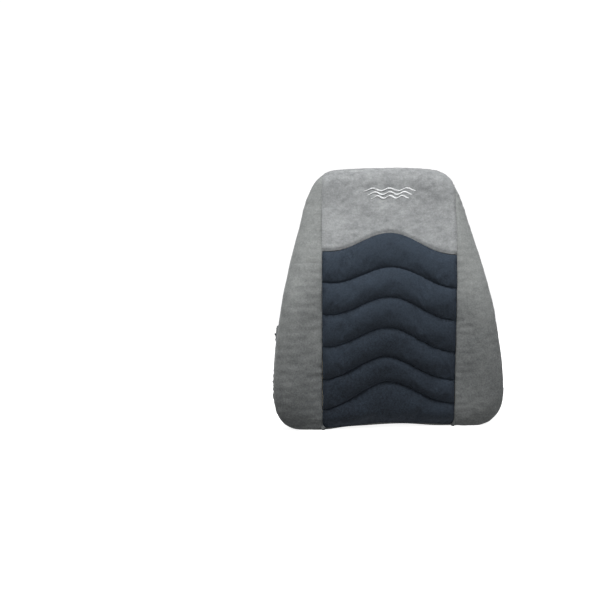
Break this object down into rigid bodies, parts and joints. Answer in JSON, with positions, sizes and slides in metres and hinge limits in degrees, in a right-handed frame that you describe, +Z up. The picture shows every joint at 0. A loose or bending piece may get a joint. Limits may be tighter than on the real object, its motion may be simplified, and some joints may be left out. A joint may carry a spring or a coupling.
{
  "type": "lumbar support cushion",
  "caption": "Wedge-shaped lumbar cushion with a sewn two-tone velour cover, quilted centre panel, rear zip and a buckled chair strap.",
  "frame": {"origin": "on the surface the cushion stands on, under the middle of its box, straps included", "axes": "+Z up along the cushion's height, +Y out of the flat back towards the chair, -Y out of the front that the sitter leans on, +X to the right when looking at the front"},
  "size_m": [0.4, 0.111, 0.455],
  "materials": {
    "velour_grey": "short-pile velour",
    "velour_light": "short-pile velour",
    "velour_navy": "quilted velour",
    "foam": "open-cell foam",
    "wadding": "fibre wadding",
    "webbing": "woven webbing",
    "zip_tape": "woven tape",
    "zip_metal": "dark lacquered",
    "zip_stop": "satin",
    "buckle_plastic": "gloss"
  },
  "bodies": {
    "cushion": {"foam_core": "foam", "quilt_wadding": "wadding", "quilt_face": "velour_navy", "top_panel": "velour_light", "bolster_panel_left": "velour_grey", "bolster_panel_right": "velour_grey", "side_band_main": "velour_grey", "side_band_bottom": "velour_grey", "back_panel_upper": "velour_grey", "back_panel_lower": "velour_grey", "zip_tape_upper": "zip_tape", "zip_tape_lower": "zip_tape", "zip_stop_left": "zip_stop", "zip_stop_right": "zip_stop", "strap_short": "webbing", "strap_long": "webbing", "buckle_socket": "buckle_plastic"},
    "zip_slider": {"zip_slider": "zip_metal"},
    "zip_pull": {"zip_pull": "zip_metal"},
    "buckle_plug": {"buckle_plug": "buckle_plastic"},
    "prong_upper": {"buckle_prong_upper": "buckle_plastic"},
    "prong_lower": {"buckle_prong_lower": "buckle_plastic"}
  },
  "joints": [
    {"name": "zip_run", "type": "slide", "parent": "cushion", "child": "zip_slider", "axis": [1, 0, 0], "range_m": [-0.274, 0]},
    {"name": "zip_pull_flip", "type": "hinge", "parent": "zip_slider", "child": "zip_pull", "pos_m": [0.137, 0.03645, 0.062], "axis": [0, 0, -1], "range_deg": [0, 178]},
    {"name": "buckle_release", "type": "slide", "parent": "cushion", "child": "buckle_plug", "axis": [0.9659, 0.2588, 0], "range_m": [0, 0.03], "deforming": ["strap_long", "buckle_prong_upper", "buckle_prong_lower"]},
    {"name": "prong_upper_squeeze", "type": "hinge", "parent": "buckle_plug", "child": "prong_upper", "pos_m": [-0.16756, 0.04841, 0.1624], "axis": [0.2563, -0.9565, 0.1392], "range_deg": [0, 14], "stiffness_Nm_per_rad": 0.1},
    {"name": "prong_lower_squeeze", "type": "hinge", "parent": "buckle_plug", "child": "prong_lower", "pos_m": [-0.16681, 0.04559, 0.1416], "axis": [-0.2563, 0.9565, -0.1392], "range_deg": [0, 14], "stiffness_Nm_per_rad": 0.1}
  ]
}
